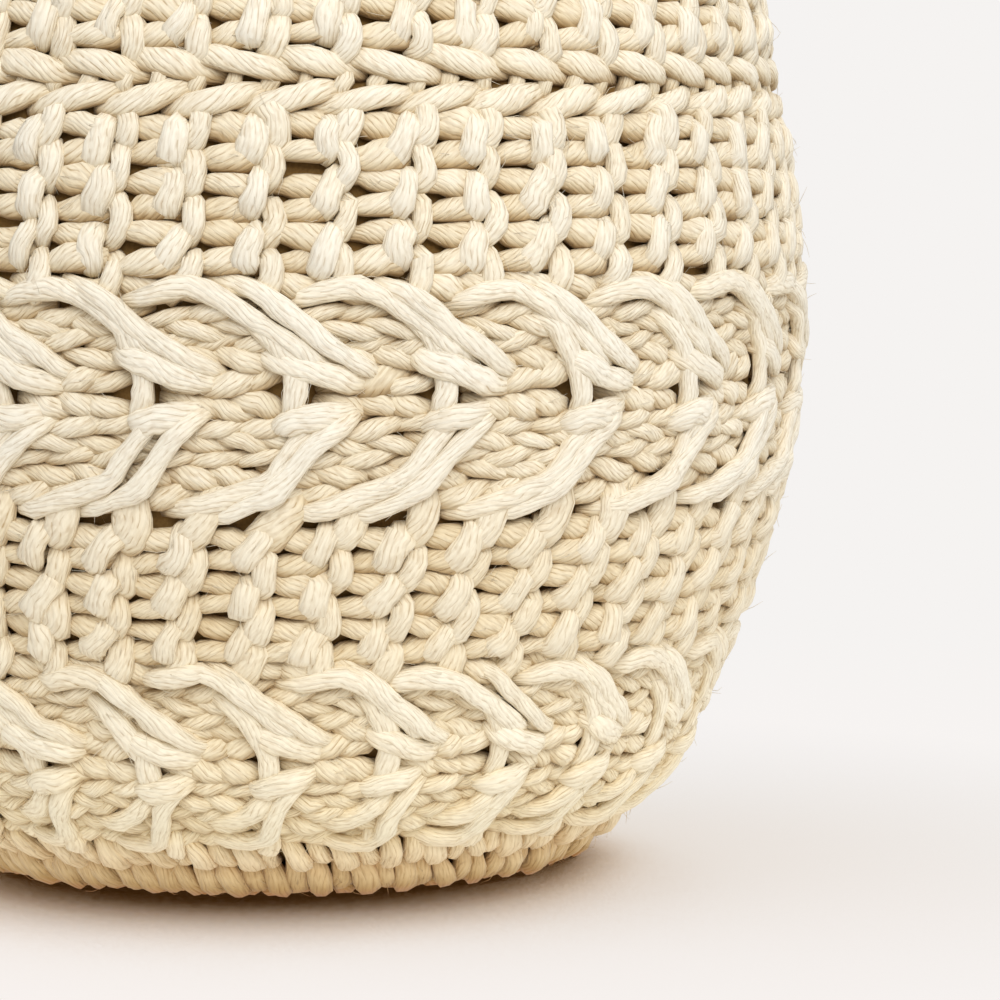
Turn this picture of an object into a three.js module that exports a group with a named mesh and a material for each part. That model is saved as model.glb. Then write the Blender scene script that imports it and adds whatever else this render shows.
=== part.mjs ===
// A round crochet pouf pillow, stuffed full and standing on its flat base.
// The cover is worked in rounds of chunky cotton cord. From the base up: a ribbed foot, a cable
// band, mesh, a second cable band, mesh, two rope rounds, mesh, and a plain crown.
// Millimetres, +Z up, origin at the middle of the base, front towards -Y.

import * as THREE from 'three';
import { mergeVertices } from 'three/addons/utils/BufferGeometryUtils.js';

// Driving dimensions. The diameter is the stuffed body's, under the raised cords
const DIAMETER = 448;
const HEIGHT = 438;
const CORD = 9.5;
const COLUMNS = 48;
const COLUMNS_PER_CABLE = 2;
const SAMPLES_PER_COLUMN = 3;

// The cable post nearest the front stands this far round from -Y towards +X
const FIRST_POST_TURN = THREE.MathUtils.degToRad(2.3);

// How far each stitch form stands out from the stuffed outline, or sinks into it
const CABLE_PROUD = 0.4 * CORD;
const GROUND_SUNK = 0.2 * CORD;
const COLUMN_PROUD = 0.25 * CORD;
const MESH_SUNK = 0.3 * CORD;
const ROPE_SUNK = 0.45 * CORD;
const RIB_PROUD = 0.2 * CORD;
const CABLE_HALF_WIDTH = 1.25 * CORD;

// Stuffed outline from the base's rim to the crown: height as a share of the whole height,
// reach as a share of half the diameter
const OUTLINE = [
  { height: 0.0, reach: 0.575 },
  { height: 0.027, reach: 0.625 },
  { height: 0.091, reach: 0.762 },
  { height: 0.205, reach: 0.865 },
  { height: 0.342, reach: 0.956 },
  { height: 0.525, reach: 1.0 },
  { height: 0.685, reach: 0.97 },
  { height: 0.845, reach: 0.905 },
  { height: 0.925, reach: 0.81 },
  { height: 0.97, reach: 0.66 },
  { height: 0.992, reach: 0.4 },
  { height: 1.0, reach: 0.0 },
];

// Stitch bands from the base up: where each one ends, how many rings it is given, and how far its
// columns stand from the posts of the upper cable band, at its foot and at its head, in columns
const BANDS = [
  { form: 'rib', top: 20, rings: 3, foot: -0.4, head: -0.4 },
  { form: 'cable', top: 100, rings: 8, foot: -0.4, head: -0.4 },
  { form: 'mesh', top: 159, rings: 4, foot: -0.75, head: -0.5 },
  { form: 'cable', top: 249, rings: 8, foot: 0, head: 0 },
  { form: 'mesh', top: 309, rings: 4, foot: -0.5, head: -0.4 },
  { form: 'rope', top: 331, rings: 4, foot: 0, head: 0 },
  { form: 'mesh', top: 392, rings: 4, foot: -0.4, head: -0.3 },
  { form: 'plain', top: HEIGHT, rings: 5, foot: 0, head: 0 },
];

// A cable's raised cords, in columns round from its post and in shares of half the band's height
// up from its middle: the post, and an arm that bends from the post back along the band's edge
const POST = [
  { turn: 0, rise: 0 },
  { turn: 0.05, rise: 0.28 },
];
const ARM = [
  { turn: 0.6, rise: 0.3 },
  { turn: 0.1, rise: 0.54 },
  { turn: -0.3, rise: 0.76 },
  { turn: -0.95, rise: 0.95 },
];

const COLUMN_TURN = (2 * Math.PI) / COLUMNS;
const SEGMENTS = COLUMNS * SAMPLES_PER_COLUMN;
const ARC_DIVISIONS = 800;
const BISECTIONS = 40;
const CORNERS_PER_QUAD = 6;
const MERGE_DISTANCE = 1e-3;

// The stuffed outline as a smooth curve
function stuffedOutline() {
  const points = OUTLINE.map(
    ({ height, reach }) => new THREE.Vector3((reach * DIAMETER) / 2, height * HEIGHT, 0),
  );
  const curve = new THREE.CatmullRomCurve3(points, false, 'centripetal');
  curve.arcLengthDivisions = ARC_DIVISIONS;
  return curve;
}

// The share of its arc length at which the outline reaches a height
function shareAtHeight(curve, height) {
  let low = 0;
  let high = 1;
  for (let step = 0; step < BISECTIONS; step += 1) {
    const middle = (low + high) / 2;
    if (curve.getPointAt(middle).y < height) {
      low = middle;
    } else {
      high = middle;
    }
  }
  return (low + high) / 2;
}

// Rings of the outline from the rim to just under the crown's middle, each with its band
function outlineRings(curve) {
  const rings = [];
  let from = 0;
  for (const band of BANDS) {
    const to = band.top === HEIGHT ? 1 : shareAtHeight(curve, band.top);
    for (let ring = 0; ring < band.rings; ring += 1) {
      const rise = ring / band.rings;
      const share = from + (to - from) * rise;
      rings.push({ band, rise, share, span: (to - from) * curve.getLength() });
    }
    from = to;
  }
  return rings;
}

// Offset from the nearest repeat, in columns
function fromNearest(turn, pitch) {
  return turn - pitch * Math.round(turn / pitch);
}

// Distance from a point to a chain of straight pieces
function distanceToChain(x, y, chain) {
  let nearest = Infinity;
  for (let piece = 0; piece + 1 < chain.length; piece += 1) {
    const { x: ax, y: ay } = chain[piece];
    const dx = chain[piece + 1].x - ax;
    const dy = chain[piece + 1].y - ay;
    const along = ((x - ax) * dx + (y - ay) * dy) / (dx * dx + dy * dy);
    const share = THREE.MathUtils.clamp(along, 0, 1);
    nearest = Math.min(nearest, Math.hypot(x - ax - share * dx, y - ay - share * dy));
  }
  return nearest;
}

// Cables are the same above and below the band's middle, so the height is folded onto one half
function cableRelief(turn, ring, reach) {
  const halfHeight = ring.span / 2;
  const columnWidth = COLUMN_TURN * reach;
  const y = Math.abs(2 * ring.rise - 1) * halfHeight;
  const toPlace = (point) => ({ x: point.turn * columnWidth, y: point.rise * halfHeight });
  let nearest = Infinity;
  for (const repeat of [-1, 0, 1]) {
    const offset = fromNearest(turn, COLUMNS_PER_CABLE) + repeat * COLUMNS_PER_CABLE;
    const x = offset * columnWidth;
    for (const chain of [POST.map(toPlace), ARM.map(toPlace)]) {
      nearest = Math.min(nearest, distanceToChain(x, y, chain));
    }
  }
  const crown = Math.max(0, 1 - (nearest / CABLE_HALF_WIDTH) ** 2);
  return (CABLE_PROUD + GROUND_SUNK) * crown - GROUND_SUNK;
}

function columnRelief(turn) {
  const crown = (1 + Math.cos(2 * Math.PI * turn)) / 2;
  return (COLUMN_PROUD + MESH_SUNK) * crown - MESH_SUNK;
}

// Height of the stitches over the stuffed outline at one point of a ring
function relief(ring, angle, reach) {
  const { band, rise } = ring;
  const shift = band.foot + (band.head - band.foot) * rise;
  const turn = (angle - FIRST_POST_TURN) / COLUMN_TURN - shift;
  if (band.form === 'cable') return cableRelief(turn, ring, reach);
  if (band.form === 'mesh') return columnRelief(turn);
  if (band.form === 'rope') return -ROPE_SUNK * Math.cos(2 * Math.PI * rise) ** 2;
  if (band.form === 'rib') return rise === 0 ? 0 : RIB_PROUD * Math.cos(2 * Math.PI * turn);
  return 0;
}

// Quads under a cable's middle are split the other way, along the lower arms
function splitAlongLowerArms(geometry, rings, pointCount) {
  const { array } = geometry.index;
  for (let segment = 0; segment < SEGMENTS; segment += 1) {
    rings.forEach(({ band, rise }, row) => {
      if (band.form !== 'cable' || rise >= 0.5) return;
      const a = row + 1 + segment * pointCount;
      const b = a + pointCount;
      const quad = (segment * (pointCount - 1) + row + 1) * CORNERS_PER_QUAD;
      [a, b, b + 1, a, b + 1, a + 1].forEach((vertex, slot) => {
        array[quad + slot] = vertex;
      });
    });
  }
}

// One closed skin: points merged, and the flat triangles at the two poles dropped
function closedSkin(geometry) {
  geometry.deleteAttribute('normal');
  geometry.deleteAttribute('uv');
  const merged = mergeVertices(geometry, MERGE_DISTANCE);
  const { array } = merged.index;
  const kept = [];
  for (let corner = 0; corner < array.length; corner += 3) {
    const [a, b, c] = array.slice(corner, corner + 3);
    if (a !== b && b !== c && c !== a) kept.push(a, b, c);
  }
  merged.setIndex(kept);
  merged.computeVertexNormals();
  return merged;
}

function poufGeometry() {
  const curve = stuffedOutline();
  const rings = outlineRings(curve);
  const ringPoints = rings.map(({ share }) => curve.getPointAt(share));
  const profile = [
    new THREE.Vector2(0, 0),
    ...ringPoints.map(({ x, y }) => new THREE.Vector2(x, y)),
    new THREE.Vector2(0, HEIGHT),
  ];
  const geometry = new THREE.LatheGeometry(profile, SEGMENTS);
  splitAlongLowerArms(geometry, rings, profile.length);

  const position = geometry.attributes.position;
  for (let segment = 0; segment <= SEGMENTS; segment += 1) {
    const angle = ((segment % SEGMENTS) / SEGMENTS) * 2 * Math.PI;
    rings.forEach((ring, row) => {
      const { x: reach, y: height } = ringPoints[row];
      const tangent = curve.getTangentAt(ring.share);
      const lift = relief(ring, angle, reach);
      const radius = reach + lift * tangent.y;
      const vertex = segment * profile.length + row + 1;
      const z = height - lift * tangent.x;
      position.setXYZ(vertex, radius * Math.sin(angle), z, radius * Math.cos(angle));
    });
  }
  geometry.rotateX(Math.PI / 2);
  return closedSkin(geometry);
}

const cottonCord = new THREE.MeshStandardMaterial({
  color: 0xeee2c6,
  roughness: 0.95,
  metalness: 0,
});

const pouf = new THREE.Mesh(poufGeometry(), cottonCord);
pouf.name = 'pouf';

const part = new THREE.Group();
part.add(pouf);

export default part;
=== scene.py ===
"""A round crochet pouf pillow in chunky cotton cord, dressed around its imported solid."""

import math

import bmesh
import bpy
import numpy as np
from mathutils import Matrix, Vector


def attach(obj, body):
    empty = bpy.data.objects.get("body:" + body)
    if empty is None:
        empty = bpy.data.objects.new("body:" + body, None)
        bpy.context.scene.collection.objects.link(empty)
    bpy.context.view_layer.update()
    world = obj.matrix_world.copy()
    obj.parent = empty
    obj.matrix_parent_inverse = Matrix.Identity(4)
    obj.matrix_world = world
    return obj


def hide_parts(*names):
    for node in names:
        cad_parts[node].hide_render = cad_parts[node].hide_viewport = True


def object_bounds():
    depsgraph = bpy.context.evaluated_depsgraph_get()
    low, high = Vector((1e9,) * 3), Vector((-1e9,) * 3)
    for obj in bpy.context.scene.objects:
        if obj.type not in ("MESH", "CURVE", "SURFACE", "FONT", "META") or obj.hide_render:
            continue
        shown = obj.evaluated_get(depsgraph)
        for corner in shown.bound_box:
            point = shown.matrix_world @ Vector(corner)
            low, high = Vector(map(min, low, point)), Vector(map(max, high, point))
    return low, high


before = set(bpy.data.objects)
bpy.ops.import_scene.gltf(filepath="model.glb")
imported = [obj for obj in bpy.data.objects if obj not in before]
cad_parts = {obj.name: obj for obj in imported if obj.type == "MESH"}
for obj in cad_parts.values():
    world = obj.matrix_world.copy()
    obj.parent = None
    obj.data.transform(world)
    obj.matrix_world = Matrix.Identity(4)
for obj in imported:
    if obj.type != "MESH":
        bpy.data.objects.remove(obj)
cad_low, cad_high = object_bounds()

MM = 0.001
SEED = 48
rng = np.random.default_rng(SEED)

# Sizes in millimetres. The solid's box gives the height and, less the raised cables, the reach.
CORD = 9.5
CABLE_PROUD = 0.4 * CORD
HEIGHT = (cad_high.z - cad_low.z) / MM
REACH = (cad_high.x - cad_low.x) / MM / 2 - CABLE_PROUD
COLUMNS = 48
COLUMN_TURN = 2 * math.pi / COLUMNS
COLUMNS_PER_CABLE = 2
# The cable post nearest the front stands this far round from the front towards the right.
FIRST_POST_TURN = math.radians(2.3)

# The stuffed outline from the base's rim to the crown: shares of the height and of the reach.
OUTLINE = [
    (0.0, 0.575),
    (0.027, 0.625),
    (0.091, 0.762),
    (0.205, 0.865),
    (0.342, 0.956),
    (0.525, 1.0),
    (0.685, 0.97),
    (0.845, 0.905),
    (0.925, 0.81),
    (0.97, 0.66),
    (0.992, 0.4),
    (1.0, 0.0),
]
SIDE_STEPS = 60
BASE_STEPS = 120

# Heights at which one stitch band gives way to the next, in millimetres.
FOOT_TOP = 20
LOWER_CABLE_TOP = 100
LOWER_MESH_TOP = 159
UPPER_CABLE_TOP = 249
UPPER_MESH_TOP = 309
ROPES_TOP = 334
TOP_MESH_TOP = 392


# The stuffed outline and places on it

def smooth_through(points, steps):
    """A centripetal Catmull-Rom curve through the points, with this many steps for each span."""
    points = np.array(points, float)
    first = 2 * points[0] - points[1]
    last = 2 * points[-1] - points[-2]
    points = np.vstack([first, points, last])
    share = np.linspace(0, 1, steps, endpoint=False)[:, None]
    spans = []
    for a, b, c, d in zip(points, points[1:], points[2:], points[3:]):
        ab, bc, cd = (math.sqrt(np.linalg.norm(q - p)) for p, q in ((a, b), (b, c), (c, d)))
        leave = (b - a) / ab - (c - a) / (ab + bc) + (c - b) / bc
        reach = (c - b) / bc - (d - b) / (bc + cd) + (d - c) / cd
        leave, reach = leave * bc, reach * bc
        square, cube = share**2, share**3
        spans.append(
            (2 * cube - 3 * square + 1) * b
            + (cube - 2 * square + share) * leave
            + (3 * square - 2 * cube) * c
            + (cube - square) * reach
        )
    return np.vstack([*spans, points[-2]])


def whole_outline():
    """Arc length, reach, height and outward normal from the base's middle to the crown's middle.

    The arc length is nought at the base's rim, so it is below nought under the pouf.
    """
    side = smooth_through([(reach * REACH, height * HEIGHT) for height, reach in OUTLINE], SIDE_STEPS)
    rim = side[0, 0]
    base = np.column_stack([np.linspace(0, rim, BASE_STEPS, endpoint=False), np.zeros(BASE_STEPS)])
    line = np.vstack([base, side])
    arc = np.concatenate([[0], np.cumsum(np.linalg.norm(np.diff(line, axis=0), axis=1))])
    along = np.gradient(line, arc, axis=0)
    along /= np.linalg.norm(along, axis=1, keepdims=True)
    return arc - rim, line[:, 0], line[:, 1], along[:, 1], -along[:, 0]


ARC, LINE_REACH, LINE_HEIGHT, OUT_REACH, OUT_HEIGHT = whole_outline()
SIDE = ARC >= 0


def arc_at(height):
    """Arc length at which the side reaches a height."""
    return float(np.interp(height, LINE_HEIGHT[SIDE], ARC[SIDE]))


def reach_at(arc):
    """Distance of the outline from the upright axis."""
    return np.interp(arc, ARC, LINE_REACH)


def angle_at(turn):
    """Angle round the upright axis, from the front towards the right, of a turn in columns."""
    return FIRST_POST_TURN + turn * COLUMN_TURN


def outward(turn, arc):
    """Outward normals of the stuffed outline."""
    angle = angle_at(turn)
    flat = np.interp(arc, ARC, OUT_REACH)
    upright = np.interp(arc, ARC, OUT_HEIGHT)
    return np.stack([flat * np.sin(angle), -flat * np.cos(angle), upright], -1)


def place(turn, arc, lift):
    """Points, in millimetres, at a turn in columns, an arc length and a lift off the outline."""
    angle = angle_at(turn)
    reach = reach_at(arc)
    height = np.interp(arc, ARC, LINE_HEIGHT)
    on_line = np.stack([reach * np.sin(angle), -reach * np.cos(angle), height], -1)
    return on_line + lift[..., None] * outward(turn, arc)


# Times that a round wavers on its way round the pouf
WAVERS = (2, 5, 9)


def wander(turn, size):
    """A slow waver round the pouf, as hand-worked rounds have."""
    angle = turn * COLUMN_TURN
    total = np.zeros_like(angle)
    for waves in WAVERS:
        total += np.sin(waves * angle + rng.uniform(0, 2 * math.pi)) / math.sqrt(waves)
    return size * total


# Cords

# The power that presses a cord's round section towards a square
PRESSED = 0.68
# A cord's tip reaches past its last ring by this share of its half width
TIP_REACH = 0.4
# How unevenly a cord is laid: the spread of each of its points, and of the cord as a whole
UNEVEN = {
    "turn": (0.014, 0.02),
    "arc": (0.45, 0.5),
    "lift": (0.3, 0.4),
    "wide": (0.05, 0.06),
    "thick": (0.04, 0.04),
}
UNEVEN_LEAN = 0.004
# How unevenly a cord is spun: the spread of its rings and of its points, as shares of its size
UNEVEN_RINGS = 0.03
UNEVEN_SKIN = 0.035
# How strongly a cord's under side is browned as painted shade
UNDER_SIDE_SHADE = 1.0
ROW_UNDER_SIDE_SHADE = 1.3
# Ranges of tone, from the palest cord to the warmest. Tone spreads at random within a range; the
# warmest range, which the mesh rows and the foot take, is partly painted shade
PALE = (0.0, 0.15)
CREAM = (0.0, 0.2)
GROUND = (0.0, 0.24)
WARM_SHADED = (0.2, 0.55)
# Every cord's fibres start somewhere in this length of their pattern, in millimetres
FIBRE_START = 500
# Loose fibres to each cord, and the least sine at which they root on its outer side
LOOSE_SHARE = 1.3
OUTER_SIDE = 0.2
# A loose fibre, in millimetres: its length, its half thickness at each ring, how deep it roots, how
# far its middle and its end stand off the cord, and its tips. It swings aside by an angle.
LOOSE_LENGTH = (4.0, 11.0)
LOOSE_RADII = (0.15, 0.13, 0.06)
LOOSE_ROOT = 0.3
LOOSE_MIDDLE = (0.2, 1.2)
LOOSE_END = (-0.4, 1.8)
LOOSE_TIP = 0.2
LOOSE_SWING = 0.5
LOOSE_SIDES = 3
LOOSE_DEPTH = 1.0
LOOSE_TONE = (0, 0.6)


def spline_weights(points, rings):
    """Weights that carry a table's rows onto evenly spaced rings of a smooth cord."""
    t = np.linspace(0, points - 1, rings)
    span = np.minimum(t.astype(int), points - 2)
    s = t - span
    weights = np.zeros((rings, points))
    basis = (
        (-s + 2 * s**2 - s**3) / 2,
        (2 - 5 * s**2 + 3 * s**3) / 2,
        (s + 4 * s**2 - 3 * s**3) / 2,
        (s**3 - s**2) / 2,
    )
    for step, part in enumerate(basis):
        row = np.clip(span + step - 1, 0, points - 1)
        np.add.at(weights, (np.arange(rings), row), part)
    return weights


def stretched(rise, stretch):
    """Rises stretched by one share above nought and another below it."""
    above, below = stretch
    return np.where(np.asarray(rise) > 0, above, below) * rise


def set_out(table, turns, arc, mirror=1, stretch=(1.0, 1.0), uneven=1.0, lean=0.0):
    """A cord's table laid at every turn, a little unevenly.

    A row of a table has the turn in columns, the rise and lift in millimetres, and the half width
    and half thickness in millimetres.
    """
    table = np.array(table, float)
    copies, points = len(turns), len(table)

    def drawn(size, across):
        return rng.normal(0, size * uneven, (copies, across))

    def off(key):
        of_points, of_cord = UNEVEN[key]
        return drawn(of_points, points) + drawn(of_cord, 1)

    rise = mirror * stretched(table[:, 1], stretch)
    lean = lean + drawn(UNEVEN_LEAN, 1)
    return {
        "turn": turns[:, None] + table[:, 0] + lean * rise + off("turn"),
        "arc": arc + rise + off("arc"),
        "lift": table[:, 2] + off("lift"),
        "wide": table[:, 3] * (1 + off("wide")),
        "thick": table[:, 4] * (1 + off("thick")),
    }


def squared(wave):
    """A sine wave pressed flat, for a cord squeezed by its neighbours."""
    return np.sign(wave) * np.abs(wave) ** PRESSED


def tube_faces(rings, sides):
    """Faces of one closed cord: quads along it, and triangles to a tip at each end."""
    skin_count = rings * sides
    grid = np.arange(skin_count).reshape(rings, sides)
    near, far = grid[:-1], grid[1:]
    quads = np.stack([near, far, np.roll(far, -1, 1), np.roll(near, -1, 1)], -1).reshape(-1, 4)
    first, last = grid[0], grid[-1]
    start = np.stack([np.full(sides, skin_count), first, np.roll(first, -1)], -1)
    end = np.stack([np.full(sides, skin_count + 1), np.roll(last, -1), last], -1)
    return quads, np.vstack([start, end])


def repeated(faces, copies, per_cord):
    """The faces of one cord numbered on for every copy."""
    return (faces + np.arange(copies)[:, None, None] * per_cord).reshape(-1, faces.shape[1])


def fibre_map(length, rings, sides, lay):
    """The fibres' map of every quad and every tip triangle: millimetres along, turns around."""
    ring, side = np.arange(rings), np.arange(sides)
    quad_ring = np.stack([ring[:-1], ring[1:], ring[1:], ring[:-1]], -1).repeat(sides, 0)
    quad_side = np.tile(np.stack([side, side, side + 1, side + 1], -1), (rings - 1, 1))
    tri_ring = np.repeat([0, rings - 1], sides)[:, None] * np.ones((1, 3), int)
    tri_side = np.vstack(
        [np.stack([side + 0.5, side, side + 1], -1), np.stack([side + 0.5, side + 1, side], -1)]
    )

    def around(rings_used, sides_used):
        u = length[:, rings_used]
        v = sides_used / sides + lay * u
        return np.stack([u, v], -1).reshape(-1, 2)

    return around(quad_ring, quad_side), around(tri_ring, tri_side)


def closed_cords(skin, tips, length, lay, depth, tone):
    """Arrays of closed cords from the points of their rings, their tips and their lengths so far."""
    copies, rings, sides = skin.shape[:3]
    per_cord = rings * sides + 2
    quads, tris = tube_faces(rings, sides)
    quad_uv, tri_uv = fibre_map(length, rings, sides, lay)
    return {
        "points": np.concatenate([skin.reshape(copies, -1, 3), tips], 1).reshape(-1, 3),
        "quads": repeated(quads, copies, per_cord),
        "tris": repeated(tris, copies, per_cord),
        "quad_uv": quad_uv,
        "tri_uv": tri_uv,
        "depth": np.broadcast_to(depth, (copies, per_cord)).ravel(),
        "tone": rng.uniform(*tone, (copies, 1)).repeat(per_cord, 1).ravel(),
    }


def sweep(cords, section, lay=0.0, under=UNDER_SIDE_SHADE, tone=PALE, loose=LOOSE_SHARE):
    """Closed round cords along laid paths, as arrays.

    The section has the rings along a cord and the sides around it. The lay is the fibres' twist, in
    turns for each millimetre. Some places on the outer side are kept as roots for loose fibres.
    """
    rings, sides = section
    copies, points = cords["lift"].shape
    weights = spline_weights(points, rings)
    turn, arc, lift, wide, thick = (
        np.broadcast_to(cords[key], (copies, points)) @ weights.T
        for key in ("turn", "arc", "lift", "wide", "thick")
    )
    centre = place(turn, arc, lift)
    along = np.gradient(centre, axis=1)
    along /= np.linalg.norm(along, axis=2, keepdims=True)
    side = np.cross(along, outward(turn, arc))
    side /= np.linalg.norm(side, axis=2, keepdims=True)
    out = np.cross(side, along)
    angle = 2 * math.pi * np.arange(sides) / sides - math.pi / 2
    uneven_rings = rng.normal(0, UNEVEN_RINGS, (copies, rings, 1))
    uneven_skin = rng.normal(0, UNEVEN_SKIN, (copies, rings, sides))
    plump = 1 + uneven_rings + uneven_skin
    across = plump * wide[..., None] * squared(np.cos(angle))
    off = plump * thick[..., None] * squared(np.sin(angle))
    skin = (
        centre[:, :, None]
        + across[..., None] * side[:, :, None]
        + off[..., None] * out[:, :, None]
    )
    reach = TIP_REACH * wide[:, [0, -1], None] * along[:, [0, -1]]
    tips = centre[:, [0, -1]] + reach * np.array([-1, 1])[:, None]

    steps = np.linalg.norm(np.diff(centre, axis=1, prepend=centre[:, :1]), axis=2)
    length = np.cumsum(steps, axis=1) + rng.uniform(0, FIBRE_START, (copies, 1))
    # Painted shade: the lower part of a cord's side counts as deeper, so the colour ramp browns it
    below = np.maximum(0, -across * side[..., 2:3])
    depth = lift[..., None] + off - under * below
    depth = np.concatenate([depth.reshape(copies, -1), lift[:, [0, -1]]], 1)

    count = round(loose * copies)
    rooted = rng.integers(0, copies, count), rng.integers(1, rings - 1, count)
    outer = rng.choice(np.flatnonzero(np.sin(angle) > OUTER_SIDE), count)
    roots = skin[(*rooted, outer)]
    stands = roots - centre[rooted]
    return {
        **closed_cords(skin, tips, length, lay, depth, tone),
        "roots": roots,
        "stands": stands / np.linalg.norm(stands, axis=1, keepdims=True),
        "lies": along[rooted],
    }


def loose_fibres(sweeps):
    """Single fibres that stand a little off the cords, as worked cotton has."""
    roots, stands, lies = (
        np.vstack([part[key] for part in sweeps]) for key in ("roots", "stands", "lies")
    )
    count = len(roots)
    aside = np.cross(lies, stands)
    swing = rng.normal(0, LOOSE_SWING, (count, 1))
    heading = (np.cos(swing) * lies + np.sin(swing) * aside) * rng.choice([-1, 1], (count, 1))
    span = rng.uniform(*LOOSE_LENGTH, (count, 1))
    middle = roots + span / 2 * heading + rng.uniform(*LOOSE_MIDDLE, (count, 1)) * stands
    end = roots + span * heading + rng.uniform(*LOOSE_END, (count, 1)) * stands
    path = np.stack([roots - LOOSE_ROOT * stands, middle, end], 1)
    angle = 2 * math.pi * np.arange(LOOSE_SIDES) / LOOSE_SIDES
    spokes = np.cos(angle)[:, None] * aside[:, None] + np.sin(angle)[:, None] * stands[:, None]
    skin = path[:, :, None] + np.array(LOOSE_RADII)[:, None, None] * spokes[:, None]
    tips = np.stack([path[:, 0] - LOOSE_TIP * heading, path[:, -1] + LOOSE_TIP * heading], 1)
    facing = np.sum(np.cross(heading, aside) * stands, 1) > 0
    skin[facing] = skin[facing][:, :, ::-1]
    length = rng.uniform(0, FIBRE_START, (count, 1)).repeat(len(LOOSE_RADII), 1)
    return [closed_cords(skin, tips, length, 0.0, LOOSE_DEPTH, LOOSE_TONE)]


def linked(name, data):
    """A new object in the scene."""
    made = bpy.data.objects.new(name, data)
    bpy.context.scene.collection.objects.link(made)
    return made


def joined_cords(name, sweeps):
    """One piece from swept cords, with its fibre map, depth and tone."""
    count, shift = 0, []
    for part in sweeps:
        shift.append(count)
        count += len(part["points"])
    quads = np.vstack([part["quads"] + by for part, by in zip(sweeps, shift)])
    tris = np.vstack([part["tris"] + by for part, by in zip(sweeps, shift)])
    mesh = bpy.data.meshes.new(name)
    mesh.vertices.add(count)
    points = np.vstack([part["points"] for part in sweeps])
    points[:, 2] = np.maximum(points[:, 2], 0)
    mesh.vertices.foreach_set("co", points.ravel() * MM)
    mesh.loops.add(quads.size + tris.size)
    mesh.loops.foreach_set("vertex_index", np.concatenate([quads.ravel(), tris.ravel()]))
    mesh.polygons.add(len(quads) + len(tris))
    starts = np.concatenate([np.arange(len(quads)) * 4, quads.size + np.arange(len(tris)) * 3])
    mesh.polygons.foreach_set("loop_start", starts)
    mesh.update(calc_edges=True)
    mesh.shade_smooth()
    laid = np.vstack([part["quad_uv"] for part in sweeps] + [part["tri_uv"] for part in sweeps])
    mesh.uv_layers.new(name="fibres").uv.foreach_set("vector", laid.ravel())
    for key in ("depth", "tone"):
        values = np.concatenate([part[key] for part in sweeps]).astype(np.float32)
        mesh.attributes.new(key, "FLOAT", "POINT").data.foreach_set("value", values)
    return linked(name, mesh)


# Stitch tables: turn in columns, rise, lift, half width and half thickness in millimetres

MESH_ROW = [
    (-0.02, 1.1, -8.2, 3.7, 3.0),
    (0.22, 0.9, -6.6, 2.9, 3.2),
    (0.48, 0.1, -5.0, 4.8, 4.2),
    (0.76, -0.6, -5.0, 5.2, 4.3),
    (1.00, -0.3, -7.5, 4.9, 3.4),
]
LEFT_BAR = [
    (-0.09, 8.8, -6.8, 4.0, 2.6),
    (-0.09, 6.6, -2.0, 4.9, 2.7),
    (-0.13, 1.0, -0.8, 5.1, 2.8),
    (-0.17, -5.0, -1.6, 5.6, 2.7),
    (-0.19, -7.8, -6.0, 4.6, 2.6),
]
RIGHT_BAR = [
    (0.04, 9.0, -6.8, 3.8, 2.6),
    (0.11, 6.6, -3.0, 4.6, 2.7),
    (0.16, 0.6, -2.0, 4.8, 2.8),
    (0.12, -5.2, -2.8, 4.7, 2.7),
    (0.03, -8.4, -6.8, 3.8, 2.6),
]
ROPE_STRAND = [
    (-0.74, -3.7, -8.6, 2.9, 2.4),
    (-0.40, -2.5, -4.8, 4.5, 3.5),
    (0.00, 0.0, -3.0, 5.2, 3.9),
    (0.40, 2.5, -4.8, 4.5, 3.5),
    (0.74, 3.7, -8.6, 2.9, 2.4),
]
ROPE_LEG = [
    (0.00, 5.4, -9.0, 2.8, 2.4),
    (0.03, 2.2, -5.8, 3.5, 2.9),
    (-0.03, -2.2, -5.8, 3.5, 2.9),
    (0.00, -5.4, -9.0, 2.8, 2.4),
]
# A strand of the plaited ground: its half width is a share of its round's half height
GROUND_STRAND = [
    (-0.50, -2.7, -8.4, 0.72, 2.6),
    (-0.25, -1.5, -6.2, 1.0, 3.4),
    (0.0, 0.0, -5.2, 1.08, 3.8),
    (0.25, 1.5, -6.2, 1.0, 3.4),
    (0.50, 2.7, -8.4, 0.72, 2.6),
]
# The cords that cross in front of the ground: turn from the post, rise over the band's middle
UPPER_EDGE = [
    (-2.08, 34.5, -8.6, 2.2, 2.2),
    (-1.75, 36.8, -2.2, 3.9, 2.8),
    (-1.40, 39.8, -1.0, 4.6, 2.9),
    (-1.05, 40.8, -0.3, 4.4, 2.9),
    (-0.72, 37.0, -0.6, 3.8, 2.8),
    (-0.42, 31.0, 0.2, 4.2, 2.9),
    (-0.15, 25.0, -0.4, 3.8, 2.8),
    (0.10, 18.8, 0.0, 4.0, 2.8),
    (0.34, 13.8, -1.6, 3.5, 2.6),
    (0.58, 9.6, -6.0, 2.8, 2.4),
]
UPPER_ARM_OUTER = [
    (-0.90, 42.5, -5.0, 3.2, 2.6),
    (-0.52, 38.0, -0.6, 4.1, 2.8),
    (-0.22, 31.4, 0.6, 4.2, 3.0),
    (0.06, 25.2, 0.1, 3.8, 2.8),
    (0.34, 19.2, 0.4, 4.0, 2.9),
    (0.60, 14.2, -0.8, 3.8, 2.7),
    (0.86, 10.0, -2.6, 3.4, 2.6),
    (1.12, 7.0, -8.6, 2.2, 2.2),
]
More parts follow.
